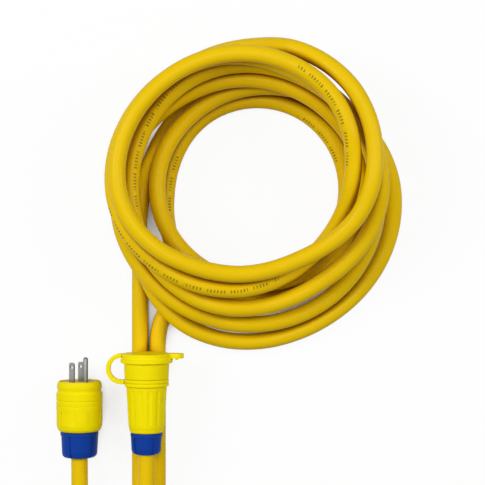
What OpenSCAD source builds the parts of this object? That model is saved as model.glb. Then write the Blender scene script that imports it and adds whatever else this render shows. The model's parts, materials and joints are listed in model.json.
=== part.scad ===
// Shore power cord set: a round cable coiled on the floor, with a three-prong
// plug and a capped connector lying side by side in front of the coil.
// Millimetres. +Y is the way the prongs point, +Z is up, the floor is z = 0.
// The origin is the middle of the floor area under the plug and connector.

/* [Cable] */
// Outer diameter of the cable
cable_d = 16; // [13:0.5:17]
// Clear space left between turns that lie on each other
turn_gap = 0.9; // [0.5:0.1:2]
// Diameter of each insulated conductor inside the cable
wire_d = 4; // [3:0.1:4.6]

/* [Layout] */
// Distance from the plug's axis to the connector's axis
axis_spacing = 66; // [60:0.1:90]
// Distance from the plug's rear end to the cap's face
row_len = 101.4; // [96:0.1:130]
// Space between the cap and the tails that carry it
rest_gap = 0.2; // [0.1:0.1:0.4]

/* [Prongs] */
// Width of a flat blade
blade_w = 6.35; // [6:0.05:7.2]
// Thickness of a flat blade
blade_t = 1.5; // [1.3:0.05:1.8]
// Distance between the two blades
blade_pitch = 12.7; // [12:0.1:14]
// Reach of the blades past the plug's rim
blade_out = 17.8; // [16:0.1:20]
// Hole near each blade's tip
blade_hole_d = 3.2; // [2.8:0.1:4]
// Distance of that hole from the tip
blade_hole_in = 4.6; // [4:0.1:6]
// Diameter of the round ground pin
pin_d = 4.8; // [4.4:0.1:5.4]
// Reach of the ground pin past the plug's rim
pin_out = 23.1; // [20:0.1:25]
// Distance from the blades' line to the ground pin
pin_drop = 11.86; // [11:0.01:13]
// Height of the blades' line above the axis
prong_rise = 3.9; // [3:0.1:5]
// Turn of the prongs about the plug's axis
prong_turn = 126; // [0:1:180]

/* [Plug] */
// Diameter of the plug at its wide bands
plug_d = 44.4; // [43:0.1:50]
// Radius of the front band
plug_front_r = 21.6; // [21.2:0.1:22]
// Length from the nut's rear end to the front rim
plug_len = 73.4; // [72:0.1:84]
// Length of the cable nut
plug_nut_len = 24.9; // [24:0.1:26]
// Radius of the nut's collar band
plug_nut_r = 18.3; // [17.4:0.1:19]
// Number of grip panels round the plug
plug_panels = 5; // [3:1:7]
// Width of a grip panel, in degrees
panel_span = 44; // [30:1:50]
// Radius of the nut at its rear end
plug_nut_end_r = 17.2; // [16.6:0.1:18]
// Radius of the threaded neck under the nut
plug_neck_r = 13; // [12.6:0.1:14]
// Radius of the bore that holds the face insert
plug_bore_r = 19.2; // [18.6:0.1:19.6]
// Thickness of the face insert
plug_insert_t = 13.3; // [11:0.1:15]
// How far the insert's face lies behind the rim
plug_face_in = 1; // [0.5:0.1:2]

/* [Connector] */
// Length from the nut's rear end to the cap's face
conn_len = 95.8; // [94:0.1:100]
// Length of the cable nut
conn_nut_len = 20.5; // [19.6:0.1:22]
// Radius of the nut's collar band
conn_nut_r = 15.3; // [14.8:0.1:16]
// Radius of the nut at its rear end
conn_nut_end_r = 14.4; // [14.2:0.1:15]
// Radius of the threaded neck under the nut
conn_neck_r = 11.2; // [11:0.1:11.8]
// Length of the handle between the nut and the collar
handle_len = 44; // [43:0.1:46]
// Radius of the handle's rear end
handle_r = 17.3; // [16.8:0.05:18]
// Radius of the handle's front end
handle_front_r = 19.2; // [19:0.1:20]
// Number of flutes round the handle
handle_flutes = 14; // [8:1:18]
// Radius of the shroud beside the collar
shroud_r = 20.9; // [20.6:0.05:21.3]
// Radius of the well inside the shroud
well_r = 17.7; // [17.2:0.1:18.2]
// Depth of the well
well_depth = 14.2; // [12:0.1:16]
// Radius of the bore that holds the contact block
block_bore_r = 15.7; // [15.4:0.1:16]

/* [Cap] */
// Diameter of the closure cap at its lip
cap_d = 49.6; // [49:0.1:54]
// Length of the cap from its rim to its face
cap_len = 8.8; // [8.2:0.1:12]
// Thickness of the cap's end wall
cap_end = 2.5; // [2:0.1:3]
// Thickness of the cap's wall at its lip
cap_wall = 3; // [2.8:0.1:4]
// Play between the cap's bore and the shroud's mouth
cap_play = 0.3; // [0.25:0.05:0.5]
// Reach of the pull tab from the axis
tab_reach = 35.4; // [33:0.1:40]
// Thickness of the pull tab
tab_t = 4.6; // [3.6:0.1:5]
// Width of the pull tab
tab_w = 14; // [10:0.5:18]
// Thickness of the strap, seen from above
strap_t = 3.1; // [2.6:0.1:4]
// Width of the strap
strap_w = 6; // [4:0.5:9]
// Reach of the strap's loop from the axis
strap_reach = 38.6; // [37:0.1:42]
// Radius of the collar that holds the strap
collar_r = 21.2; // [20.8:0.05:21.5]
// Length of the collar
collar_len = 6.7; // [6:0.1:7.4]

/* [Fits] */
// Clearance of a thread or a turning fit
fit_run = 0.05; // [0.02:0.01:0.1]
// Clearance of a piece that is dropped into a bore
fit_drop = 0.2; // [0.1:0.05:0.3]
// Clearance where the nut passes over the cable
fit_cable = 0.7; // [0.4:0.1:1.2]

/* [Hidden] */
cable_r = cable_d / 2;
tail_half = (cable_d + turn_gap) / 2 + 0.05;

// Plug and connector on the floor
plug_r = plug_d / 2;
cap_r = cap_d / 2;
cap_bore_r = cap_r - cap_wall;
mouth_r = cap_bore_r - cap_play;
plug_x = (plug_r - axis_spacing - tab_reach) / 2;
conn_x = plug_x + axis_spacing;
plug_rear = -row_len / 2;
conn_rear = row_len / 2 - conn_len;
plug_h = plug_r;
conn_h = cable_r + sqrt(pow(cap_r + cable_r + rest_gap, 2) - pow(tail_half, 2));

// Stations along the plug, from the nut's rear end
nut_lip = 0.3;
plug_body_z = plug_nut_len + nut_lip;
panel_z = plug_body_z + 7;
panel_len = 13.2;
band3_z = plug_len - 23.2;
band2_z = plug_len - 18.4;
band1_z = plug_len - 8.4;
plug_step_z = plug_len - plug_face_in - plug_insert_t;
plug_chamber_z = 30;
plug_chamber_r = plug_bore_r - 1.7;

// Stations along the connector, from the nut's rear end
conn_body_z = conn_nut_len + nut_lip;
cap_rim_z = conn_len - cap_len;
seal_t = 0.9;
seal_gap = 0.05;
mouth_z = conn_len - cap_end - seal_t - seal_gap;
block_face_z = mouth_z - well_depth;
block_lip = 4;
block_step_z = block_face_z - block_lip;
block_rear_z = block_step_z - 25;
collar_z = conn_body_z + handle_len;
shroud_z = collar_z + collar_len + fit_drop;
conn_chamber_z = 24;
conn_chamber_r = block_bore_r - 2.2;
collar_seat_r = handle_front_r - 0.3;

// Inside a gland nut
nut_wall = 3.5;
neck_in = 2;
neck_start = nut_wall + 6.5;
ring_t = 3.2;
lip_t = 2.4;
sheath_past = 2;

// Prongs and contacts
prong_root = plug_step_z - 9;
screw_r = 2.9;
screw_t = 1.5;
shank_r = 1.5;
leaf_t = 0.7;
leaf_slack = 0.15;
slot_slack = 0.5;
pin_foot_r = pin_d / 2 + 0.5;
pin_shank_r = pin_d / 2 - 0.3;
socket_r = pin_d / 2 + 0.25;
tab_plate = 1.2;
contact_root = block_rear_z - 5;
contact_top = block_face_z - 3.4;
pocket_w = blade_w + 1.1;
pocket_t = 5.2;
sleeve_r = socket_r + 1;
terminals = [[blade_pitch / 2, -prong_rise], [-blade_pitch / 2, -prong_rise],
             [0, pin_drop - prong_rise]];
conn_terminals = [for (p = terminals) [-p[0], p[1]]];
core_spots = [[3.4, -2.4], [-3.4, -2.4], [0, 4.1]];

// Colours
cable_yellow = [0.86, 0.68, 0.05];
body_yellow = [0.93, 0.87, 0.08];
nut_blue = [0.08, 0.23, 0.58];
block_grey = [0.82, 0.82, 0.78];
nickel = [0.72, 0.71, 0.68];
brass = [0.78, 0.62, 0.28];
black = [0.07, 0.07, 0.07];
white = [0.92, 0.92, 0.9];
green = [0.1, 0.45, 0.2];

// ---- The cable -------------------------------------------------------------

// The coil: turns are laid one after another around one centre, counter
// clockwise from above. Each turn has a radius at six stations, 60 degrees
// apart from 240 degrees on, and a smooth curve passes through them.
coil_centre = [132, 207];
coil_rings = 24;
first_angle = 272;
last_angle = 3032;
station_angle = 240;
turn_radii = [[ 88,  86,  87,  88,  88,  88],
              [105, 107, 105, 106, 106, 110],
              [147, 141, 132, 105,  96,  96],
              [ 91,  92, 102, 100, 111, 133],
              [132, 126, 114, 112, 121, 120],
              [119, 107, 115, 111, 131, 135],
              [105,  83,  86, 112, 129, 129],
              [ 89,  77, 104, 131, 138, 140]];
// The last turn leaves the top of the pile here and is tucked under the rest
tuck_from = 2927;
tuck_to = 2972;
stiff_r = 64;
join_y = 41;
settle_passes = 14;

tail_plug_x = conn_x - tail_half;
tail_conn_x = conn_x + tail_half;
start_y = join_y + 16.5;
start_run = concat([[tail_conn_x, join_y], [tail_conn_x, start_y]],
    [for (a = [165:-15:90]) [tail_conn_x + stiff_r * (1 + cos(a)),
                             start_y + stiff_r * sin(a)]]);
end_run = [[0.5, 217], [7, 194.5], [13.5, 172], [tail_plug_x - 0.3, 150], [tail_plug_x, 128],
           [tail_plug_x, 101], [tail_plug_x, 72], [tail_plug_x, start_y], [tail_plug_x, join_y]];

// Tails, from the sheath's end inside the gland to the coil's end. The last
// part of each runs straight under the connector.
function straight(x, from_y) = [for (k = [0:6]) [x, from_y + (join_y - from_y) * k / 6, cable_r]];
exit_run = 50;
plug_exit = plug_rear - exit_run;
conn_exit = conn_rear - exit_run;
plug_tail = concat([[plug_x, plug_rear + plug_chamber_z + sheath_past, plug_h],
    [plug_x, plug_rear, plug_h], [plug_x, plug_exit, plug_h], [-43, -126, 21.5], [-55, -147, 19],
    [-74, -163, 15], [-94, -179, 11], [-106, -200, cable_r + 0.6], [-110.5, -224, cable_r],
    [-102, -256, cable_r], [-78.5, -279.5, cable_r], [-46.5, -288, cable_r],
    [-14.5, -279.5, cable_r], [9, -256, cable_r]], straight(tail_plug_x, -224));
conn_tail = concat([[conn_x, conn_rear + conn_chamber_z + sheath_past, conn_h],
    [conn_x, conn_rear, conn_h], [conn_x, conn_exit, conn_h], [30, -124, 39.4], [42, -145, 37.4],
    [60.5, -160.5, 33], [93, -170, 24.5], [127, -179.5, 15.5], [145.5, -195, 11.5],
    [158, -216, cable_r + 1], [162, -240, cable_r], [153.5, -272, cable_r],
    [130, -295.5, cable_r], [98, -304, cable_r], [66, -295.5, cable_r],
    [42.5, -272, cable_r]], straight(tail_conn_x, -240));

function unit(v) = v / norm(v);
function heading(p, i) = unit(p[min(i + 1, len(p) - 1)] - p[max(i - 1, 0)]);
function cable_ring(p, i, r, n, upward) =
    let (t = heading(p, i), side = unit(cross(t, upward)), up = cross(side, t))
    [for (k = [0:n - 1]) p[i] + r * (cos(360 * k / n) * side + sin(360 * k / n) * up)];

// A tube swept along points, with n sides and a flat end at each end
module tube(p, r, n, upward = [0, 0, 1]) {
    last = len(p) - 1;
    skin = [for (i = [0:last - 1], k = [0:n - 1])
        let (a = i * n + k, b = i * n + (k + 1) % n) each [[a, b, b + n], [a, b + n, a + n]]];
    caps = [for (k = [1:n - 2]) each [[0, k + 1, k], [last * n, last * n + k, last * n + k + 1]]];
    polyhedron(points = [for (i = [0:last]) each cable_ring(p, i, r, n, upward)],
        faces = concat(skin, caps), convexity = 10);
}

// Radius of the coil at an angle, by a smooth curve through the stations
function station(i) = let (s = [for (row = turn_radii) each row]) s[max(0, min(i, len(s) - 1))];
function coil_radius(angle) =
    let (q = (angle - station_angle) / 60, k = floor(q), u = q - k,
         a = station(k - 1), b = station(k), c = station(k + 1), d = station(k + 2))
    (2 * b + (c - a) * u + (2 * a - 5 * b + 4 * c - d) * u * u
        + (3 * b - a - 3 * c + d) * u * u * u) / 2;

coil_step = 360 / coil_rings;
function coil_plan() = concat(start_run,
    [for (a = [first_angle:coil_step:last_angle]) coil_centre + coil_radius(a) * [cos(a), sin(a)]],
    end_run);
function ring_at(angle) = len(start_run) + round((angle - first_angle) / coil_step);

function lengths(p, i = 0, sum = 0, out = []) = i == len(p) ? out
    : let (s = sum + (i == 0 ? 0 : norm(p[i] - p[i - 1]))) lengths(p, i + 1, s, concat(out, [s]));
function share(p, a, b) = max(0, min(1, (p - a) * (b - a) / ((b - a) * (b - a))));

// What each ring lies on: [ring, next ring, share of the way, rise]
function rests(p, run, order, reach, i) = concat(
    [for (j = [0:len(p) - 2])
        if (norm(p[j] - p[i]) < reach + 60 && abs(run[i] - run[j]) >= 120
            && abs(run[i] - run[j + 1]) >= 120 && order[j] < order[i])
        let (u = share(p[i], p[j], p[j + 1]), s = norm(p[i] - p[j] - u * (p[j + 1] - p[j])))
        if (s < reach) [j, j + 1, u, sqrt(reach * reach - s * s)]],
    [for (j = [max(0, i - 1):min(i, len(p) - 2)], k = [0:len(p) - 1])
        if (norm(p[k] - p[j]) < reach + 60 && abs(run[k] - run[j]) >= 120
            && abs(run[k] - run[j + 1]) >= 120 && order[k] <= order[j])
        let (u = share(p[k], p[j], p[j + 1]), s = norm(p[k] - p[j] - u * (p[j + 1] - p[j])))
        if (s < reach) [k, k, 0, sqrt(reach * reach - s * s)]]);

// The tucked end falls from the top to the floor along two arcs
function fall(w) = w < 0.5 ? 2 * w * w : 1 - 2 * (1 - w) * (1 - w);
function raised(z, under) = [for (list = under)
    max(concat([cable_r], [for (c = list) z[c[0]] * (1 - c[2]) + z[c[1]] * c[2] + c[3]]))];
function tucked(z, run, top, foot) = [for (i = [0:len(z) - 1]) i <= top ? z[i]
    : let (w = fall(min(1, (run[i] - run[top]) / (run[foot] - run[top]))))
        z[top] * (1 - w) + cable_r * w];
function eased(z, run, foot) =
    let (arched = [for (i = [0:len(z) - 1]) max([for (k = [max(0, i - 8):min(len(z) - 1, i + 8)])
            z[k] - pow(run[i] - run[k], 2) / (2 * stiff_r)])], last = len(z) - 1)
    [for (i = [0:last]) i > foot ? z[i] : i == 0 || i == last ? arched[i]
        : max(arched[i], (arched[i - 1] + arched[i + 1]) / 2)];
function settled(z, under, run, top, foot, n) = n == 0 ? z
    : settled(eased(tucked(raised(z, under), run, top, foot), run, foot),
        under, run, top, foot, n - 1);

// Least clear space between parts of a cable that are apart along it
function spread(p) = concat([for (i = [0:len(p) - 2]) each [p[i], (p[i] + p[i + 1]) / 2]],
    [p[len(p) - 1]]);
function least_gap(p, run) = min([for (i = [0:len(p) - 2]) min([1000,
    for (j = [i + 1:len(p) - 1]) if (run[j] - run[i] > 120) norm(p[i] - p[j]) - cable_d])]);

module cable_coil() {
    plan = coil_plan();
    run = lengths(plan);
    top = ring_at(tuck_from);
    tuck = ring_at(tuck_to);
    order = [for (i = [0:len(plan) - 1]) i < tuck ? i : i - 10000];
    under = [for (i = [0:len(plan) - 1]) rests(plan, run, order, cable_d + turn_gap, i)];
    z = settled([for (p = plan) cable_r], under, run, top, tuck + 1, settle_passes);
    path = [for (i = [0:len(plan) - 1]) [plan[i][0], plan[i][1], z[i]]];
    fine = spread(path);
    echo(coil_length = run[len(run) - 1], coil_height = max(z) + cable_r,
        least_gap = least_gap(fine, lengths(fine)));
    color(cable_yellow) tube(path, cable_r, 8);
}

module cable_tail_plug() color(cable_yellow) tube(plug_tail, cable_r, 10);
module cable_tail_connector() color(cable_yellow) tube(conn_tail, cable_r, 10);

// ---- Shared pieces ---------------------------------------------------------

// A piece drawn upright from its rear end is laid down along +Y
module lay_plug() translate([plug_x, plug_rear, plug_h])
    rotate([0, -prong_turn, 0]) rotate([-90, 0, 0]) children();
module lay_connector() translate([conn_x, conn_rear, conn_h]) rotate([-90, 0, 0]) children();

module turned(points, facets = 36) rotate_extrude($fn = facets) polygon(points);

module around(count) for (k = [0:count - 1]) rotate([0, 0, 360 * k / count]) children();

// A nut with a rounded rear end, a collar band and three sunk grip panels
nut_band = 3.6;
nut_panel_span = 78;
nut_panel_depth = 0.8;
module gland_nut(length, band_r, end_r, neck_r, panel_turn) {
    hole_r = cable_r + fit_cable;
    corner = 4.4;
    edge = [for (a = [0:30:90]) [end_r - corner + corner * sin(a), corner - corner * cos(a)]];
    sunk_z = length - nut_band;
    rotate([0, 0, panel_turn - 60]) difference() {
        turned(concat([[hole_r, 0]], edge,
            [[band_r - 0.2, sunk_z + 0.1], [band_r, sunk_z + 0.4], [band_r, length - 0.5],
             [band_r - 0.5, length], [neck_r + fit_run, length], [neck_r + fit_run, nut_wall],
             [hole_r, nut_wall]]));
        for (k = [0:2]) rotate([0, 0, 60 + 120 * k - nut_panel_span / 2])
            rotate_extrude(angle = nut_panel_span, $fn = 36)
                polygon([[end_r - 2.6, -1], [end_r + 3, -1], [band_r + 3, sunk_z],
                         [band_r - 0.2 - nut_panel_depth, sunk_z],
                         [end_r - nut_panel_depth, corner + 1.2], [end_r - 2.4, 1.4]]);
    }
}

// The grommet squeezed between the neck and the cable
module gland_grommet(neck_r) turned([[cable_r, neck_start - lip_t], [neck_r - 0.5, neck_start - lip_t],
    [neck_r - 0.5, neck_start], [neck_r - neck_in - fit_drop, neck_start],
    [neck_r - neck_in - fit_drop, neck_start + 9], [cable_r + 0.7, neck_start + 12],
    [cable_r, neck_start + 12]], 24);

module gland_ring(neck_r) turned([[cable_r + 0.3, nut_wall + 0.1],
    [neck_r - 0.3, nut_wall + 0.1], [neck_r - 0.3, nut_wall + ring_t - 0.5],
    [neck_r - 0.8, nut_wall + ring_t], [cable_r + 0.3, nut_wall + ring_t]], 24);

// Round-headed screw that clamps a conductor, its head facing +X
module terminal_screw(plate) {
    translate([plate / 2, 0, 0]) rotate([0, 90, 0]) cylinder(r = screw_r, h = screw_t, $fn = 20);
    translate([-plate / 2 - 1, 0, 0]) rotate([0, 90, 0])
        cylinder(r = shank_r, h = plate + 2, $fn = 16);
}

module terminal_screws(spots, z, plate, pin_half) {
    for (k = [0:1]) translate([spots[k][0], spots[k][1], z])
        rotate([0, 0, spots[k][0] > 0 ? 0 : 180]) terminal_screw(plate);
    translate([spots[2][0], spots[2][1], z]) rotate([0, 0, 90]) terminal_screw(2 * pin_half);
}

// One insulated conductor from the sheath's end to its terminal
module conductor(from, to, z0, z1) {
    d = z1 - z0;
    tube([[from[0], from[1], z0], [from[0], from[1], z0 + d * 0.15],
          [from[0] * 0.8 + to[0] * 0.2, from[1] * 0.8 + to[1] * 0.2, z0 + d * 0.35],
          [from[0] * 0.2 + to[0] * 0.8, from[1] * 0.2 + to[1] * 0.8, z0 + d * 0.65],
          [to[0], to[1], z0 + d * 0.85], [to[0], to[1], z1]], wire_d / 2, 8, [0, 1, 0]);
}

// ---- The plug --------------------------------------------------------------

// A band with a rounded outer edge
function crowned(z, length, r, drop) =
    [[r - drop, z], [r, z + drop], [r, z + length - drop], [r - drop, z + length]];

// A band that bulges from one edge to the other
function bulged(z, length, r, drop) =
    [for (k = [0:4]) [r - drop + drop * sin(45 * k), z + length * k / 4]];

// The middle of the first panel is this far round from the blades' centre line
first_panel = 12.6;
panel_step = 360 / plug_panels;
module plug_shell() color(body_yellow) lay_plug()
rotate([0, 0, first_panel - panel_step / 2]) difference() {
    turned(concat(
        [[plug_neck_r - neck_in, neck_start], [plug_neck_r - 0.6, neck_start],
         [plug_neck_r, neck_start + 0.6], [plug_neck_r, plug_body_z],
         [plug_nut_r - 0.2, plug_body_z], [plug_r - 2.6, plug_body_z + 0.7],
         [plug_r - 1.2, plug_body_z + 2.6], [plug_r - 0.3, panel_z - 1], [plug_r, panel_z + 5],
         [plug_r, band3_z - 0.9], [plug_r - 0.3, band3_z],
         [plug_r, band3_z + 0.9], [plug_r, band2_z - 1.1], [plug_r - 0.6, band2_z],
         [plug_r, band2_z + 1.1], [plug_r, band1_z - 3.2],
         [plug_front_r - 0.9, band1_z - 1]],
        bulged(band1_z, 7.2, plug_front_r, 0.9),
        [[plug_front_r - 1.8, plug_len], [plug_bore_r, plug_len], [plug_bore_r, plug_step_z],
         [plug_chamber_r, plug_step_z], [plug_chamber_r, plug_chamber_z + 4],
         [plug_neck_r - neck_in, plug_chamber_z]]));
    for (k = [0:plug_panels - 1])
        rotate([0, 0, panel_step * (k + 0.5) - panel_span / 2])
            rotate_extrude(angle = panel_span, $fn = 36)
                polygon([[plug_r - 0.8, panel_z], [plug_r + 3, panel_z],
                         [plug_r + 3, panel_z + panel_len], [plug_r - 0.8, panel_z + panel_len]]);
}

module prong_holes(slack, z, h, root_r) {
    for (k = [0:1]) translate([terminals[k][0], terminals[k][1], z + h / 2])
        cube([blade_t + slack, blade_w + slack, h], center = true);
    translate([terminals[2][0], terminals[2][1], z]) cylinder(r = root_r, h = h, $fn = 24);
}
module pin_seat(z, h) translate([terminals[2][0], terminals[2][1], z])
    cylinder(r = (pin_d + fit_drop) / 2, h = h, $fn = 24);

face_screw_x = 13;
face_screw_y = 3;
module at_face_screws() for (s = [-1, 1]) translate([s * face_screw_x, face_screw_y, 0]) children();

module plug_insert() color(block_grey) lay_plug() difference() {
    translate([0, 0, plug_step_z]) cylinder(r = plug_bore_r - fit_drop, h = plug_insert_t, $fn = 36);
    prong_holes(2 * fit_drop, plug_step_z - 1, plug_insert_t + 2, pin_shank_r + fit_drop / 2);
    pin_seat(plug_len - plug_face_in - 0.8, 2);
    at_face_screws() translate([0, 0, plug_len - plug_face_in - 2])
        cylinder(r = 2.8, h = 3, $fn = 20);
    at_face_screws() translate([0, 0, plug_step_z - 1]) cylinder(r = 1.4, h = 20, $fn = 16);
}

module plug_face_screws() color(nickel) lay_plug() at_face_screws() {
    translate([0, 0, plug_len - plug_face_in - 2]) cylinder(r = 2.6, h = 1.5, $fn = 20);
    translate([0, 0, plug_step_z]) cylinder(r = 1.2, h = plug_insert_t - 2, $fn = 16);
}

module blade(k) {
    tip = plug_len + blade_out;
    half = blade_w / 2;
    translate([terminals[k][0] - blade_t / 2, terminals[k][1], 0]) rotate([90, 0, 90])
        linear_extrude(height = blade_t) difference() {
            polygon([[-half, prong_root], [half, prong_root], [half, tip - 1.6],
                     [half - 1.3, tip], [1.3 - half, tip], [-half, tip - 1.6]]);
            translate([0, tip - blade_hole_in]) circle(d = blade_hole_d, $fn = 24);
            translate([0, prong_root + 4]) circle(r = shank_r + fit_drop, $fn = 20);
        }
}

module plug_line_blade() color(nickel) lay_plug() blade(0);
module plug_neutral_blade() color(nickel) lay_plug() blade(1);

module plug_ground_pin() color(nickel) lay_plug() difference() {
    translate([terminals[2][0], terminals[2][1], 0]) turned([[0, prong_root],
        [pin_foot_r, prong_root], [pin_foot_r, plug_step_z], [pin_shank_r, plug_step_z],
        [pin_shank_r, plug_len - plug_face_in], [pin_d / 2, plug_len - plug_face_in],
        [pin_d / 2, plug_len + pin_out - 1.8],
        [pin_d / 2 - 0.5, plug_len + pin_out - 0.7], [pin_d / 2 - 1.3, plug_len + pin_out],
        [0, plug_len + pin_out]], 24);
    translate([terminals[2][0], terminals[2][1], prong_root + 4]) rotate([90, 0, 0])
        cylinder(r = shank_r + fit_drop / 2, h = 2 * pin_foot_r + 1, center = true, $fn = 20);
}

module plug_terminal_screws() color(brass) lay_plug()
    terminal_screws(terminals, prong_root + 4, blade_t, pin_foot_r);

module plug_wire(k, tint) color(tint) lay_plug()
    conductor(core_spots[k], terminals[k], plug_chamber_z + sheath_past, prong_root);
module plug_wire_black() plug_wire(0, black);
module plug_wire_white() plug_wire(1, white);
module plug_wire_green() plug_wire(2, green);

module plug_grommet() color(black) lay_plug() gland_grommet(plug_neck_r);
module plug_slip_ring() color(white) lay_plug() gland_ring(plug_neck_r);
module plug_nut() color(nut_blue) lay_plug()
    gland_nut(plug_nut_len, plug_nut_r, plug_nut_end_r, plug_neck_r, 49.4);

// ---- The connector ---------------------------------------------------------

flute_r = 6;
flute_depth = 0.6;
module connector_shell() color(body_yellow) lay_connector() difference() {
    turned([[conn_neck_r - 1.6, neck_start], [conn_neck_r - 0.5, neck_start],
        [conn_neck_r, neck_start + 0.5], [conn_neck_r, conn_body_z],
        [conn_nut_r - 0.2, conn_body_z], [conn_nut_r + 0.7, conn_body_z + 1],
        [handle_r - 0.9, conn_body_z + 3], [handle_r - 0.25, conn_body_z + 5.4],
        [handle_r, conn_body_z + 8], [handle_front_r, collar_z - 1.2],
        [collar_seat_r, collar_z - 0.5], [collar_seat_r, shroud_z],
        [shroud_r - 0.5, shroud_z], [shroud_r, shroud_z + 0.7], [mouth_r, cap_rim_z - 1.6],
        [mouth_r, mouth_z - 0.6], [mouth_r - 0.6, mouth_z], [well_r, mouth_z],
        [well_r, block_step_z], [block_bore_r, block_step_z], [block_bore_r, block_rear_z - 0.4],
        [conn_chamber_r, block_rear_z - 0.4], [conn_chamber_r, conn_chamber_z + 3],
        [conn_neck_r - 1.6, conn_chamber_z]], 3 * handle_flutes);
    lean = atan((handle_front_r - handle_r) / (handle_len - 9.2));
    around(handle_flutes) translate([handle_r + flute_r - flute_depth, 0, conn_body_z + 8])
        rotate([0, lean, 0]) cylinder(r = flute_r, h = handle_len - 12, $fn = 32);
}

module connector_block() color(block_grey) lay_connector() difference() {
    union() {
        translate([0, 0, block_rear_z]) cylinder(r = block_bore_r - fit_drop,
            h = block_step_z - block_rear_z + 0.1, $fn = 36);
        translate([0, 0, block_step_z]) cylinder(r = well_r - fit_drop, h = block_lip, $fn = 36);
    }
    for (k = [0:1]) translate([conn_terminals[k][0], conn_terminals[k][1], 0]) {
        translate([-(blade_t + slot_slack) / 2, -(blade_w + slot_slack) / 2, block_rear_z])
            cube([blade_t + slot_slack, blade_w + slot_slack, 40]);
        translate([-pocket_t / 2, -pocket_w / 2, block_rear_z - 1])
            cube([pocket_t, pocket_w, contact_top + 0.4 - block_rear_z + 1]);
    }
    translate([conn_terminals[2][0], conn_terminals[2][1], block_rear_z - 1]) {
        cylinder(r = socket_r, h = 40, $fn = 24);
        cylinder(r = sleeve_r + fit_drop, h = contact_top + 0.2 - block_rear_z + 1, $fn = 24);
    }
}

// A spring clip with two leaves that grips a blade, and its terminal plate
module blade_clip(k) translate([conn_terminals[k][0], conn_terminals[k][1], 0]) difference() {
    grip_w = blade_w - 0.2;
    half_gap = blade_t / 2 + leaf_slack;
    base_z = block_rear_z + 2;
    union() {
        translate([-tab_plate / 2, -grip_w / 2, contact_root])
            cube([tab_plate, grip_w, base_z - contact_root]);
        translate([-pocket_t / 2 + 0.15, -pocket_w / 2 + 0.15, base_z - 0.1])
            cube([pocket_t - 0.3, pocket_w - 0.3, 1.5]);
        for (s = [0, 1]) mirror([s, 0, 0]) translate([0, grip_w / 2, 0]) rotate([90, 0, 0])
            linear_extrude(height = grip_w) polygon([[half_gap + 0.4, base_z + 1.2],
                [half_gap + 0.4 + leaf_t, base_z + 1.2], [half_gap + leaf_t, contact_top - 4],
                [half_gap + 0.5 + leaf_t, contact_top], [half_gap + 0.5, contact_top],
                [half_gap, contact_top - 4]]);
    }
    translate([0, 0, contact_root + 4]) rotate([0, 90, 0])
        cylinder(r = shank_r + fit_drop / 2, h = 4, center = true, $fn = 20);
}

module connector_line_contact() color(brass) lay_connector() blade_clip(0);
module connector_neutral_contact() color(brass) lay_connector() blade_clip(1);

module connector_ground_contact() color(brass) lay_connector()
    translate([conn_terminals[2][0], conn_terminals[2][1], 0]) difference() {
        union() {
            translate([0, 0, block_rear_z + 2.4]) cylinder(r = sleeve_r,
                h = contact_top - block_rear_z - 2.4, $fn = 24);
            translate([-2.6, -tab_plate / 2, contact_root]) cube([5.2, tab_plate, 8]);
        }
        translate([0, 0, block_rear_z + 4.4]) cylinder(r = socket_r, h = 40, $fn = 24);
        translate([0, 0, contact_root + 4]) rotate([90, 0, 0])
            cylinder(r = shank_r + fit_drop / 2, h = 6, center = true, $fn = 20);
    }

module connector_terminal_screws() color(brass) lay_connector()
    terminal_screws(conn_terminals, contact_root + 4, tab_plate, tab_plate / 2);

module connector_wire(k, tint) color(tint) lay_connector()
    conductor([-core_spots[k][0], core_spots[k][1]], conn_terminals[k],
        conn_chamber_z + sheath_past, contact_root);
module connector_wire_black() connector_wire(0, black);
module connector_wire_white() connector_wire(1, white);
module connector_wire_green() connector_wire(2, green);

module connector_grommet() color(black) lay_connector() gland_grommet(conn_neck_r);
module connector_slip_ring() color(white) lay_connector() gland_ring(conn_neck_r);
module connector_nut() color(nut_blue) lay_connector()
    gland_nut(conn_nut_len, conn_nut_r, conn_nut_end_r, conn_neck_r, 261.5);

// ---- The cap ---------------------------------------------------------------

module closure_cap() color(body_yellow) lay_connector() {
    inner_z = conn_len - cap_end;
    boss_r = well_r - 0.3;
    lip = 4;
    top_r = cap_r - 1.3;
    turned([[0, inner_z], [boss_r - 1.4, inner_z], [boss_r - 1.4, inner_z - 5.6],
        [boss_r - 0.5, inner_z - 5.6], [boss_r, inner_z - 5], [boss_r, inner_z],
        [cap_bore_r, inner_z], [cap_bore_r, cap_rim_z], [cap_r - 0.4, cap_rim_z],
        [cap_r, cap_rim_z + 0.4], [cap_r, cap_rim_z + lip - 0.7],
        [top_r, cap_rim_z + lip + 0.3], [top_r, conn_len - 1], [top_r - 0.3, conn_len - 0.3],
        [top_r - 1, conn_len], [0, conn_len]], 48);
    tab_z = conn_len - tab_t;
    nub_x = tab_reach - 6.5;
    difference() {
        union() {
            translate([0, 0, tab_z]) linear_extrude(height = tab_t) {
                translate([cap_r - 4, -tab_w / 2]) square([tab_reach - cap_r + 4 - tab_w / 2, tab_w]);
                translate([tab_reach - tab_w / 2, 0]) circle(d = tab_w, $fn = 32);
            }
            translate([nub_x, 0, tab_z]) rotate([90, 0, 0])
                cylinder(r = 1.6, h = tab_w - 4, center = true, $fn = 20);
        }
        translate([0, 0, tab_z - 3]) cylinder(r = top_r - 0.6, h = tab_t + 4, $fn = 48);
    }
}

module cap_seal() color(black) lay_connector() turned([[well_r + 0.4, mouth_z + seal_gap],
    [mouth_r - 0.3, mouth_z + seal_gap], [mouth_r - 0.3, mouth_z + seal_gap + seal_t],
    [well_r + 0.4, mouth_z + seal_gap + seal_t]]);

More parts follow.
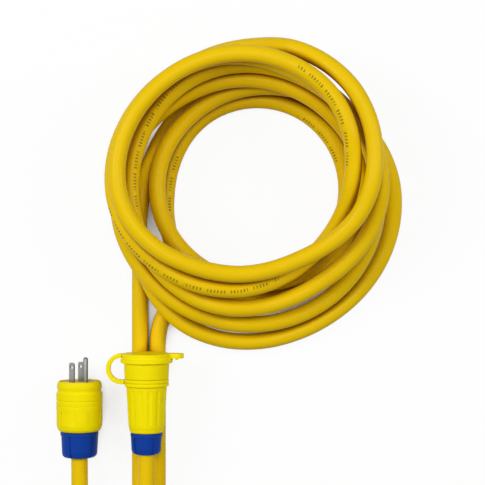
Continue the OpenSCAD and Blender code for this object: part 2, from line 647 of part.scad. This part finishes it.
module strap_collar() color(body_yellow) lay_connector() {
    seat = collar_seat_r + fit_drop / 2;
    band = collar_len / 2 - 0.3;
    turned(concat([[seat, collar_z]], crowned(collar_z, band, collar_r, 0.5),
        [[collar_r - 0.9, collar_z + collar_len / 2]],
        crowned(collar_z + collar_len - band, band, collar_r, 0.5),
        [[seat, collar_z + collar_len]]));
}

// The loop that ties the cap to its collar
module cap_strap() color(body_yellow) lay_connector() {
    high = conn_len - strap_t / 2;
    low = collar_z + collar_len / 2;
    loop_r = (high - low) / 2;
    mid_x = loop_r + strap_t / 2 - strap_reach;
    cap_edge = 1.25 - cap_r;
    collar_edge = -collar_r - 0.05;
    past = 2 * strap_reach;
    rotate([90, 0, 0]) linear_extrude(height = strap_w, center = true) {
        difference() {
            translate([mid_x, (high + low) / 2]) circle(r = loop_r + strap_t / 2, $fn = 48);
            translate([mid_x, (high + low) / 2]) circle(r = loop_r - strap_t / 2, $fn = 48);
            translate([cap_edge, (high + low) / 2]) square([past, past]);
            translate([mid_x, low - loop_r]) square([past, 2 * loop_r]);
        }
        translate([mid_x - 0.1, low - strap_t / 2]) square([collar_edge - mid_x + 0.1, strap_t]);
    }
}

// ---- Output ----------------------------------------------------------------

cable_coil();
cable_tail_plug();
cable_tail_connector();
plug_shell();
plug_insert();
plug_face_screws();
plug_line_blade();
plug_neutral_blade();
plug_ground_pin();
plug_terminal_screws();
plug_wire_black();
plug_wire_white();
plug_wire_green();
plug_grommet();
plug_slip_ring();
plug_nut();
connector_shell();
connector_block();
connector_line_contact();
connector_neutral_contact();
connector_ground_contact();
connector_terminal_screws();
connector_wire_black();
connector_wire_white();
connector_wire_green();
connector_grommet();
connector_slip_ring();
connector_nut();
closure_cap();
cap_seal();
strap_collar();
cap_strap();
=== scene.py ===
import json
import math

import bpy
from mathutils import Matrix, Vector


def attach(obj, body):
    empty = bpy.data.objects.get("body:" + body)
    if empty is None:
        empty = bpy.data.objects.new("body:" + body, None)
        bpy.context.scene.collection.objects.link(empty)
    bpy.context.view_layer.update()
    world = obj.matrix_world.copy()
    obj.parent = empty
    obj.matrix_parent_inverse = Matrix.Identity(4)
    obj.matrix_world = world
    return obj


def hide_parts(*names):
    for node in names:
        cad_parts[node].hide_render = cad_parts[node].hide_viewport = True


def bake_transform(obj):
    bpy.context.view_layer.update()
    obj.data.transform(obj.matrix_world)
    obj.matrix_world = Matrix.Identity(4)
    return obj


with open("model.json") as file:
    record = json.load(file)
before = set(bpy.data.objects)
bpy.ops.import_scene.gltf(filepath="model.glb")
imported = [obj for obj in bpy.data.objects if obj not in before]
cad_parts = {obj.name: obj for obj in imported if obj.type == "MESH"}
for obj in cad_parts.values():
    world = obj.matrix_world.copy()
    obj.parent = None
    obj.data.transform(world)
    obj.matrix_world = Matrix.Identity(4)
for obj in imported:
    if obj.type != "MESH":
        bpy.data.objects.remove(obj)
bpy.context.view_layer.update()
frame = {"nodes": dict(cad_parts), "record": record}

mm = 0.001
rootBody = "cord_set"

# camera
cameraSet = {
    "lookAt": (0.1177, 0.1562, 0.022),
    "height": 1.35,           # above the level of the plug's axis
    "frameWidth": 0.468,      # the width seen at that level
    "sensor": 36.0,
}

cameraData = bpy.data.cameras.new("topCamera")
cameraData.sensor_width = cameraSet["sensor"]
cameraData.lens = cameraSet["sensor"] * cameraSet["height"] / cameraSet["frameWidth"]
cameraData.clip_end = 20.0
cameraObject = bpy.data.objects.new("topCamera", cameraData)
cameraObject.location = Vector(cameraSet["lookAt"]) + Vector((0, 0, cameraSet["height"]))
bpy.context.scene.collection.objects.link(cameraObject)
bpy.context.scene.camera = cameraObject
print("camera set")

# small helpers


def addObject(name, mesh, body=rootBody):
    piece = bpy.data.objects.new(name, mesh)
    bpy.context.scene.collection.objects.link(piece)
    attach(piece, body)
    return piece


def between(a, b, c, d, u):   # on the smooth curve from b to c, where a and d are their neighbours
    return 0.5 * (2 * b + (c - a) * u + (2 * a - 5 * b + 4 * c - d) * u * u
                  + (3 * b - a - 3 * c + d) * u ** 3)


def smoothPath(points, steps, lowest):
    out = []
    last = len(points) - 1
    for i in range(last):
        a, b = points[max(i - 1, 0)], points[i]
        c, d = points[i + 1], points[min(i + 2, last)]
        out += [between(a, b, c, d, k / steps) for k in range(steps)]
    out.append(points[last].copy())
    for p in out:
        p.z = max(p.z, lowest)
    return out


def runLengths(points):
    sums = [0.0]
    for a, b in zip(points[:-1], points[1:]):
        sums.append(sums[-1] + (b - a).length)
    return sums


# cable
cable = {
    "radius": 8.0,            # everything here is in millimetres
    "turnGap": 0.9,           # between turns that rest on each other
    "coilCentre": (132, 207),
    "rings": 24,              # in one turn
    "firstAngle": 272,
    "lastAngle": 3032,
    "stationStart": 240,      # angle of the first radius
    "stationStep": 60,        # from one radius to the next
    "turnRadii": [[88, 86, 87, 88, 88, 88],
                  [105, 107, 105, 106, 106, 110],
                  [147, 141, 132, 105, 96, 96],
                  [91, 92, 102, 100, 111, 133],
                  [132, 126, 114, 112, 121, 120],
                  [119, 107, 115, 111, 131, 135],
                  [105, 83, 86, 112, 129, 129],
                  [89, 77, 104, 131, 138, 140]],
    "tuckFrom": 2927,         # where the last turn leaves the top of the pile
    "tuckTo": 2972,           # where it has come down to the floor
    "stiffRadius": 64,
    "joinY": 41,              # where the tails meet the coil
    "joinStraight": 16.5,     # straight from there to the first bend
    "passes": 14,             # rounds of lifting the turns clear of each other
    "sameRun": 120,           # points nearer than this along the cable don't rest on each other
    "farOff": 60,             # points farther apart than this past touching are left out
    "archRings": 8,           # rings to each side that a lifted ring holds up
    "plugX": -39.6,           # where it leaves the plug's nut
    "plugRear": -50.7,
    "plugHeight": 22.2,
    "connX": 26.4,            # where it leaves the connector's nut
    "connRear": -45.1,
    "connHeight": 39.8865,
    "startInside": 18,        # how far inside each nut the sheath is drawn from
    "straightSteps": 6,       # points of each straight run under the connector
    "sides": 24,              # of the drawn tube
    "steps": 6,               # drawn rings from one point to the next
    "unprinted": 1e6,         # added to the run along the cable where it has no print
}
tailHalf = (2 * cable["radius"] + cable["turnGap"]) / 2 + 0.05
tailPlugX = cable["connX"] - tailHalf
tailConnX = cable["connX"] + tailHalf


def coilRadius(angle):
    stations = [r for row in cable["turnRadii"] for r in row]
    q = (angle - cable["stationStart"]) / cable["stationStep"]
    k = math.floor(q)
    a, b, c, d = (stations[max(0, min(i, len(stations) - 1))] for i in (k - 1, k, k + 1, k + 2))
    return between(a, b, c, d, q - k)


def coilPlan():
    join = cable["joinY"]
    startY = join + cable["joinStraight"]
    bend = cable["stiffRadius"]
    startRun = [Vector((tailConnX, join)), Vector((tailConnX, startY))]
    for angle in range(165, 89, -15):
        a = math.radians(angle)
        startRun.append(Vector((tailConnX + bend * (1 + math.cos(a)), startY + bend * math.sin(a))))
    endRun = [Vector(p) for p in ((0.5, 217), (7, 194.5), (13.5, 172), (tailPlugX - 0.3, 150),
                                  (tailPlugX, 128), (tailPlugX, 101), (tailPlugX, 72),
                                  (tailPlugX, startY), (tailPlugX, join))]
    step = 360 // cable["rings"]
    turns = []
    for angle in range(cable["firstAngle"], cable["lastAngle"] + 1, step):
        a = math.radians(angle)
        turns.append(Vector(cable["coilCentre"]) + coilRadius(angle) * Vector((math.cos(a), math.sin(a))))
    return startRun, turns, endRun


def layCoil():
    startRun, turns, endRun = coilPlan()
    plan = startRun + turns + endRun
    count = len(plan)
    run = runLengths(plan)
    step = 360 / cable["rings"]

    def ringAt(angle):
        return len(startRun) + round((angle - cable["firstAngle"]) / step)

    top, tuck = ringAt(cable["tuckFrom"]), ringAt(cable["tuckTo"])
    foot = tuck + 1
    order = [i if i < tuck else i - 2 * count for i in range(count)]   # the tucked end was laid first
    reach = 2 * cable["radius"] + cable["turnGap"]
    under = [[] for _ in plan]
    for i in range(count):
        for j in range(count - 1):
            if (plan[i] - plan[j]).length > reach + cable["farOff"]:
                continue
            if min(abs(run[i] - run[j]), abs(run[i] - run[j + 1])) < cable["sameRun"]:
                continue
            edge = plan[j + 1] - plan[j]
            u = max(0.0, min(1.0, (plan[i] - plan[j]).dot(edge) / edge.dot(edge)))
            apart = (plan[i] - plan[j] - u * edge).length
            if apart >= reach:
                continue
            rise = math.sqrt(reach * reach - apart * apart)
            if order[j] < order[i]:
                under[i].append((j, j + 1, u, rise))
            else:
                under[j].append((i, i, 0.0, rise))
                under[j + 1].append((i, i, 0.0, rise))
    floor, near = cable["radius"], cable["archRings"]
    z = [floor] * count
    for _ in range(cable["passes"]):
        raised = [max([floor] + [z[a] * (1 - u) + z[b] * u + rise for a, b, u, rise in rests])
                  for rests in under]
        for i in range(top + 1, count):
            w = min(1.0, (run[i] - run[top]) / (run[foot] - run[top]))
            w = 2 * w * w if w < 0.5 else 1 - 2 * (1 - w) ** 2
            raised[i] = raised[top] * (1 - w) + floor * w
        arched = [max(raised[k] - (run[i] - run[k]) ** 2 / (2 * cable["stiffRadius"])
                      for k in range(max(0, i - near), min(count, i + near + 1)))
                  for i in range(count)]
        z = [raised[i] if i > foot else arched[i] if i in (0, count - 1)
             else max(arched[i], (arched[i - 1] + arched[i + 1]) / 2) for i in range(count)]
    return [Vector((p.x, p.y, h)) for p, h in zip(plan, z)]


def straightRun(x, fromY):
    count = cable["straightSteps"]
    return [(x, fromY + (cable["joinY"] - fromY) * k / count, cable["radius"]) for k in range(count)]


def tailPoints():
    px, cx = cable["plugX"], cable["connX"]
    ph, ch = cable["plugHeight"], cable["connHeight"]
    r = cable["radius"]
    plugTail = [(px, cable["plugRear"] + cable["startInside"], ph), (px, cable["plugRear"], ph),
                (px, cable["plugRear"] - 50, ph), (-43, -126, 21.5), (-55, -147, 19), (-74, -163, 15),
                (-94, -179, 11), (-106, -200, 8.6), (-110.5, -224, r), (-102, -256, r),
                (-78.5, -279.5, r), (-46.5, -288, r), (-14.5, -279.5, r), (9, -256, r),
                *straightRun(tailPlugX, -224)]
    connTail = [(cx, cable["connRear"] + cable["startInside"], ch), (cx, cable["connRear"], ch),
                (cx, cable["connRear"] - 50, ch), (30, -124, 39.4), (42, -145, 37.4), (60.5, -160.5, 33),
                (93, -170, 24.5), (127, -179.5, 15.5), (145.5, -195, 11.5), (158, -216, 9),
                (162, -240, r), (153.5, -272, r), (130, -295.5, r), (98, -304, r), (66, -295.5, r),
                (42.5, -272, r), *straightRun(tailConnX, -240)]
    return [Vector(p) for p in plugTail], [Vector(p) for p in connTail]


def tubeMesh(name, points, radius, sides, printSide):
    sums = runLengths(points)
    verts, faces, loopUv = [], [], []
    last = len(points) - 1
    for i, p in enumerate(points):
        along = (points[min(i + 1, last)] - points[max(i - 1, 0)]).normalized()
        side = along.cross(Vector((0, 0, 1))).normalized()
        up = side.cross(along)
        for k in range(sides):
            a = 2 * math.pi * k / sides
            verts.append(p + radius * (math.cos(a) * side + math.sin(a) * up))
    places = [printSide(run) for run in sums]
    for i in range(last):
        for k in range(sides):
            a, b = i * sides + k, i * sides + (k + 1) % sides
            faces.append((a, b, b + sides, a + sides))
            for ring, turn in ((i, k), (i, k + 1), (i + 1, k + 1), (i + 1, k)):
                loopUv.append((turn / sides - places[ring][0], sums[ring] + places[ring][1]))
    faces.append(tuple(range(sides))[::-1])
    faces.append(tuple(last * sides + k for k in range(sides)))
    loopUv += [(0.0, 0.0)] * sides + [(0.0, sums[last])] * sides
    mesh = bpy.data.meshes.new(name)
    mesh.from_pydata([v * mm for v in verts], [], faces)
    uv = mesh.uv_layers.new(name="cableUv")
    for loop, (u, v) in zip(uv.data, loopUv):
        loop.uv = (u, v * mm)
    for face in mesh.polygons:
        face.use_smooth = True
    mesh.update()
    return mesh


coilPath = layCoil()
plugTail, connTail = tailPoints()
cablePoints = plugTail + coilPath[::-1] + connTail[::-1]
cablePath = smoothPath(cablePoints, cable["steps"], cable["radius"])
cableRun = runLengths(cablePath)
print("cable", round(cableRun[-1]), "mm")

# the stretches of the printed line: two angles of the coil, and its place at each as a share of the
# way round the cable from its inner side
printRuns = [(378, 422, 0.13, 0.13), (516, 560, 0.19, 0.16), (640, 800, 0.62, 0.62),
             (900, 1060, 0.62, 0.60), (1480, 1640, 0.62, 0.62), (1912, 1950, 0.36, 0.22),
             (1950, 1990, 0.22, 0.13), (2100, 2230, 0.62, 0.62), (2348, 2441, 0.43, 0.24),
             (2533, 2562, 0.10, 0.16), (2562, 2593, 0.16, 0.25)]
coilStart = len(coilPlan()[0])


def runAtAngle(angle):
    ring = coilStart + (angle - cable["firstAngle"]) * cable["rings"] / 360
    return cableRun[round((len(plugTail) + len(coilPath) - 1 - ring) * cable["steps"])]


printPlaces = [(runAtAngle(b), runAtAngle(a), shareB, shareA) for a, b, shareA, shareB in printRuns]


def printSide(run):
    for first, last, firstShare, lastShare in printPlaces:
        if first <= run <= last:
            return firstShare + (lastShare - firstShare) * (run - first) / (last - first), 0.0
    ends = [(abs(run - end), share) for first, last, firstShare, lastShare in printPlaces
            for end, share in ((first, firstShare), (last, lastShare))]
    return min(ends)[1], cable["unprinted"]


cableMesh = tubeMesh("cableSheath", cablePath, cable["radius"], cable["sides"], printSide)
cableObject = addObject("cableSheath", cableMesh)
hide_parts("cable_coil", "cable_tail_plug", "cable_tail_connector")

# the cap's strap
strap = {
    "centre": (2.4, 36.1),    # of its bend, in millimetres
    "radius": 12.5,
    "height": cable["connHeight"],
    "thick": 4.2,
    "wide": 6.0,
    "corner": 0.7,
    "flat": 0.15,             # keeps the shading of the flat sides even beside a corner
    "bendSteps": 44,
    "capEnd": 2.85,           # where it meets the cap
    "collarEnd": 5.15,        # where it meets the collar
    "still": 25.5,            # up to here it stays with the collar
    "carried": 46.4,          # from here on it goes with the cap
}


def strapSection():
    out = []
    t, w, c = strap["thick"] / 2, strap["wide"] / 2, strap["corner"]
    for k, (sx, sy) in enumerate(((1, 1), (-1, 1), (-1, -1), (1, -1))):
        middle = Vector((sx * (t - c), sy * (w - c)))
        bend = [math.radians(90 * k + 22.5 * i) for i in range(5)]
        first, last = bend[0], bend[-1]
        out.append(middle + c * Vector((math.cos(first), math.sin(first)))
                   - strap["flat"] * Vector((-math.sin(first), math.cos(first))))
        out += [middle + c * Vector((math.cos(a), math.sin(a))) for a in bend]
        out.append(middle + c * Vector((math.cos(last), math.sin(last)))
                   + strap["flat"] * Vector((-math.sin(last), math.cos(last))))
    return out


def strapMesh():
    cx, cy = strap["centre"]
    r = strap["radius"]
    start = 90 - math.degrees(math.asin((strap["capEnd"] - cx) / r))
    stations = []
    for k in range(strap["bendSteps"] + 1):
        a = math.radians(start + (270 - start) * k / strap["bendSteps"])
        out = Vector((math.cos(a), math.sin(a), 0))
        stations.append((Vector((cx, cy, strap["height"])) + r * out, out))
    foot = stations[-1][0]
    stations += [(foot + Vector(((strap["collarEnd"] - cx) * k / 3, 0, 0)), Vector((0, -1, 0)))
                 for k in (1, 2, 3)]
    section = strapSection()
    n = len(section)
    verts = [p + q.x * out + Vector((0, 0, q.y)) for p, out in stations for q in section]
    faces = [(i * n + k, i * n + (k + 1) % n, (i + 1) * n + (k + 1) % n, (i + 1) * n + k)
             for i in range(len(stations) - 1) for k in range(n)]
    sides = len(faces)
    faces.append(tuple(range(n))[::-1])
    faces.append(tuple((len(stations) - 1) * n + k for k in range(n)))
    mesh = bpy.data.meshes.new("strapBand")
    mesh.from_pydata([v * mm for v in verts], [], faces)
    for face in mesh.polygons:
        face.use_smooth = face.index < sides
    mesh.update()
    return mesh


strapObject = bpy.data.objects.new("strapBand", strapMesh())
bpy.context.scene.collection.objects.link(strapObject)
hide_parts("cap_strap")
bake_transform(strapObject)
print("strap set")

# materials


def newMaterial(name):
    material = bpy.data.materials.new(name)
    material.use_nodes = True
    nodes = material.node_tree.nodes
    return material, nodes, material.node_tree.links, nodes["Principled BSDF"]


def addNode(nodes, kind, **values):
    node = nodes.new(kind)
    for key, value in values.items():
        if key in node.inputs:
            node.inputs[key].default_value = value
        else:
            setattr(node, key, value)
    return node


def mixColours(nodes, links, factor, first, second):
    mix = addNode(nodes, "ShaderNodeMix", data_type="RGBA")
    links.new(factor, mix.inputs["Factor"])
    for socket, colour in (("A", first), ("B", second)):
        if isinstance(colour, tuple):
            mix.inputs[socket].default_value = (*colour, 1)
        else:
            links.new(colour, mix.inputs[socket])
    return mix.outputs["Result"]


def curve(nodes, links, value, low, high, outLow=0.0, outHigh=1.0):
    spread = addNode(nodes, "ShaderNodeMapRange", interpolation_type="SMOOTHSTEP")
    spread.inputs["From Min"].default_value = low
    spread.inputs["From Max"].default_value = high
    spread.inputs["To Min"].default_value = outLow
    spread.inputs["To Max"].default_value = outHigh
    links.new(value, spread.inputs["Value"])
    return spread.outputs["Result"]


# what a finish has unless its own line says otherwise: patch is how far the colour varies, reach is
# how near another surface has to be for the painted shade to darken it, from shut to open, and grain is
# the fine relief's scale
plainLook = dict(cloudScale=40.0, patch=0.05, shut=0.15, open=0.75, grain=1200.0, bump=0.12, shine=0.2,
                 metal=0.0)
surface = {
    "rubbed": (0.51, 0.58),   # pointiness where an edge starts to look rubbed, and is wholly so
    "grainSpan": (0.3, 0.7),  # part of the fine noise that is used
    "roughSpan": (-0.05, 0.07),
    "relief": 0.0002,         # depth of the fine relief, in metres
    "closeRays": 8,
}


def moulded(name, givenLook):
    look = {**plainLook, **givenLook}
    material, nodes, links, shader = newMaterial(name)
    coords = addNode(nodes, "ShaderNodeTexCoord").outputs["Object"]
    cloud = addNode(nodes, "ShaderNodeTexNoise", Scale=look["cloudScale"], Detail=3.0)
    links.new(coords, cloud.inputs["Vector"])
    pale = tuple(min(1.0, c * (1 + look["patch"])) for c in look["colour"])
    dull = tuple(c * (1 - look["patch"]) for c in look["colour"])
    colour = mixColours(nodes, links, cloud.outputs["Fac"], dull, pale)
    if "paintedShade" in look:                                  # painted shade, darker where two surfaces come close
        near = addNode(nodes, "ShaderNodeAmbientOcclusion", samples=surface["closeRays"],
                       Distance=look["reach"])
        paintedShadeMix = curve(nodes, links, near.outputs["AO"], look["shut"], look["open"])
        colour = mixColours(nodes, links, paintedShadeMix, look["paintedShade"], colour)
    if "edge" in look:                                  # rubbed or dark along the sharp edges
        bend = addNode(nodes, "ShaderNodeNewGeometry").outputs["Pointiness"]
        rubbed = curve(nodes, links, bend, *surface["rubbed"])
        colour = mixColours(nodes, links, rubbed, colour, look["edge"])
    links.new(colour, shader.inputs["Base Color"])
    fine = addNode(nodes, "ShaderNodeTexNoise", Scale=look["grain"], Detail=4.0)
    links.new(coords, fine.inputs["Vector"])
    smoothest, roughest = (look["rough"] + change for change in surface["roughSpan"])
    links.new(curve(nodes, links, fine.outputs["Fac"], *surface["grainSpan"], smoothest, roughest),
              shader.inputs["Roughness"])
    relief = addNode(nodes, "ShaderNodeBump", Strength=look["bump"], Distance=surface["relief"])
    links.new(fine.outputs["Fac"], relief.inputs["Height"])
    links.new(relief.outputs["Normal"], shader.inputs["Normal"])
    shader.inputs["Specular IOR Level"].default_value = look["shine"]
    shader.inputs["Metallic"].default_value = look["metal"]
    return material


# the darker second colour of a finish is painted shade in its creases, gaps and corners
looks = {
    "yellow_shell": dict(colour=(0.94, 0.785, 0.001), paintedShade=(0.62, 0.44, 0.001), reach=0.003, rough=0.42,
                         patch=0.03, grain=1500.0, shine=0.05),
    "yellow_cap": dict(colour=(0.98, 0.82, 0.001), paintedShade=(0.66, 0.47, 0.001), reach=0.003, rough=0.45,
                       patch=0.03, grain=1500.0, shine=0.05),
    "blue_nut": dict(colour=(0.002, 0.043, 0.32), paintedShade=(0.001, 0.012, 0.09), reach=0.003, rough=0.4,
                     patch=0.06, shine=0.12),
    "insert": dict(colour=(0.84, 0.60, 0.15), paintedShade=(0.5, 0.3, 0.05), reach=0.004, rough=0.5, grain=900.0),
    "nickel": dict(colour=(0.15, 0.15, 0.146), edge=(0.30, 0.30, 0.29), rough=0.32, metal=1.0,
                   grain=2500.0, bump=0.05),
    "brass": dict(colour=(0.60, 0.42, 0.14), edge=(0.75, 0.56, 0.22), rough=0.3, metal=1.0, grain=2500.0,
                  bump=0.05),
    "black_rubber": dict(colour=(0.02, 0.02, 0.02), edge=(0.05, 0.05, 0.05), rough=0.6, grain=900.0,
                         bump=0.2),
    "white_plastic": dict(colour=(0.8, 0.8, 0.77), paintedShade=(0.45, 0.44, 0.4), reach=0.003, rough=0.45),
    "wire_black": dict(colour=(0.02, 0.02, 0.02), edge=(0.04, 0.04, 0.04), rough=0.45, grain=900.0),
    "wire_white": dict(colour=(0.8, 0.8, 0.78), paintedShade=(0.5, 0.5, 0.46), reach=0.002, rough=0.45,
                       grain=900.0),
    "wire_green": dict(colour=(0.03, 0.25, 0.07), paintedShade=(0.01, 0.1, 0.03), reach=0.002, rough=0.45,
                       grain=900.0),
}
finishes = {slotName: moulded(slotName + "Finish", look) for slotName, look in looks.items()}

jacket = {
    # the darker colour of the jacket is painted shade, dark brown, in the gaps between the turns
    "look": dict(colour=(0.85, 0.562, 0.003), paintedShade=(0.31, 0.088, 0.0), reach=0.016, shut=0.1, open=0.80,
                 rough=0.28, patch=0.03, grain=900.0, bump=0.10, shine=0.06, cloudScale=18.0),
    "ink": (0.19, 0.14, 0.01),
    "printHalf": 0.030,       # half the width of the printed line, as a share of the girth
    "dashes": (0.0031, 0.52),  # length of one dash with its space, and the share that is ink
    "groups": (0.021, 0.80),  # the same for a group of dashes
    "wear": 260.0,            # scale of the rubbed places in the print
    "wearSpan": (0.25, 0.6),
    "kept": (0.35, 0.8),      # least and most ink that is left
}


def jacketMaterial():
    material = moulded("cableJacket", jacket["look"])
    nodes, links = material.node_tree.nodes, material.node_tree.links
    shader = nodes["Principled BSDF"]
    plain = shader.inputs["Base Color"].links[0].from_socket
    place = addNode(nodes, "ShaderNodeSeparateXYZ")
    links.new(addNode(nodes, "ShaderNodeUVMap", uv_map="cableUv").outputs["UV"], place.inputs["Vector"])

    def compute(operation, first, second):
        node = addNode(nodes, "ShaderNodeMath", operation=operation)
        for socket, value in zip(node.inputs, (first, second)):
            if isinstance(value, (int, float)):
                socket.default_value = value
            else:
                links.new(value, socket)
        return node.outputs[0]

    around = compute("WRAP", place.outputs["X"], 0.5)
    nodes[-1].inputs[2].default_value = -0.5
    ink = compute("LESS_THAN", compute("ABSOLUTE", around, 0), jacket["printHalf"])
    ink = compute("MULTIPLY", ink, compute("LESS_THAN", place.outputs["Y"], cable["unprinted"] * mm / 100))
    for length, share in (jacket["dashes"], jacket["groups"]):
        along = compute("FRACT", compute("DIVIDE", place.outputs["Y"], length), 0)
        ink = compute("MULTIPLY", ink, compute("LESS_THAN", along, share))
    worn = addNode(nodes, "ShaderNodeTexNoise", Scale=jacket["wear"], Detail=3.0)
    links.new(addNode(nodes, "ShaderNodeTexCoord").outputs["Object"], worn.inputs["Vector"])
    left = curve(nodes, links, worn.outputs["Fac"], *jacket["wearSpan"], *jacket["kept"])
    ink = compute("MULTIPLY", ink, left)
    links.new(mixColours(nodes, links, ink, plain, jacket["ink"]), shader.inputs["Base Color"])
    return material


finishes["cable"] = jacketMaterial()
cableMesh.materials.append(finishes["cable"])
strapObject.data.materials.append(finishes["yellow_cap"])
for entry in frame["record"]["subparts"]:
    node = frame["nodes"][entry["node"]]
    node.data.materials.clear()
    node.data.materials.append(finishes[entry["material_slot"]])
print("materials set")

# floor and light
stage = {
    "half": 6.0,
    "seenFloor": 0.95,        # colour of the floor to the camera
    "whiteShare": 0.92,       # how much of the seen floor is plain white rather than lit
    "slitReach": 0.06,        # how near the turns over the floor have to be to shade it
    "slit": (0.10, 0.42),     # from covered, where the lit floor is seen alone, to open
    "bounce": 0.30,           # colour of the floor to the light it sends back up
    "skyLight": 0.24,         # the sky's strength as light, to the camera it is white
}

floorMesh = bpy.data.meshes.new("studioFloor")
h = stage["half"]
floorMesh.from_pydata([(-h, -h, 0), (h, -h, 0), (h, h, 0), (-h, h, 0)], [], [(0, 1, 2, 3)])
floorObject = bpy.data.objects.new("studioFloor", floorMesh)
bpy.context.scene.collection.objects.link(floorObject)


def seenRay(nodes, links):
    path = addNode(nodes, "ShaderNodeLightPath")
    total = path.outputs["Is Camera Ray"]
    for name in ("Is Glossy Ray", "Is Transmission Ray"):
        add = addNode(nodes, "ShaderNodeMath", operation="MAXIMUM")
        links.new(total, add.inputs[0])
        links.new(path.outputs[name], add.inputs[1])
        total = add.outputs[0]
    return total


floorMaterial, nodes, links, shader = newMaterial("paleFloor")
nodes.remove(shader)
white = addNode(nodes, "ShaderNodeEmission", Color=(1, 1, 1, 1), Strength=1.0)
lit = addNode(nodes, "ShaderNodeBsdfDiffuse", Color=(*[stage["seenFloor"]] * 3, 1))
back = addNode(nodes, "ShaderNodeBsdfDiffuse", Color=(*[stage["bounce"]] * 3, 1))
seen = addNode(nodes, "ShaderNodeMixShader")
both = addNode(nodes, "ShaderNodeMixShader")
links.new(lit.outputs[0], seen.inputs[1])
links.new(white.outputs[0], seen.inputs[2])
covered = addNode(nodes, "ShaderNodeAmbientOcclusion", samples=surface["closeRays"],
                  Distance=stage["slitReach"])
links.new(curve(nodes, links, covered.outputs["AO"], *stage["slit"], 0.0, stage["whiteShare"]),
          seen.inputs["Fac"])
links.new(seenRay(nodes, links), both.inputs["Fac"])
links.new(back.outputs[0], both.inputs[1])
links.new(seen.outputs[0], both.inputs[2])
links.new(both.outputs[0], nodes["Material Output"].inputs["Surface"])
floorMesh.materials.append(floorMaterial)

world = bpy.data.worlds.new("studioWorld")
bpy.context.scene.world = world
world.use_nodes = True
nodes, links = world.node_tree.nodes, world.node_tree.links
strength = addNode(nodes, "ShaderNodeMapRange")
strength.inputs["To Min"].default_value = stage["skyLight"]
strength.inputs["To Max"].default_value = 1.0
links.new(seenRay(nodes, links), strength.inputs["Value"])
nodes["Background"].inputs["Color"].default_value = (1, 1, 1, 1)
links.new(strength.outputs["Result"], nodes["Background"].inputs["Strength"])

lamps = {                     # place, width, depth and power
    "leftLamp": ((-1.3, 0.6, 1.5), 0.7, 1.0, 19.5),
    "rightLamp": ((1.5, 0.5, 1.1), 0.35, 1.0, 9.0),
    "topLamp": ((0.1, 0.5, 2.2), 0.9, 0.9, 13.0),
}
lampTarget = (0.1, 0.15, 0)

for name, (spot, width, depth, power) in lamps.items():
    data = bpy.data.lights.new(name, "AREA")
    data.shape = "RECTANGLE"
    data.size = width
    data.size_y = depth
    data.energy = power
    lamp = bpy.data.objects.new(name, data)
    lamp.location = spot
    lamp.rotation_euler = (Vector(lampTarget) - Vector(spot)).to_track_quat("-Z", "Y").to_euler()
    bpy.context.scene.collection.objects.link(lamp)
print("stage set")

bpy.context.scene.view_settings.view_transform = "Standard"
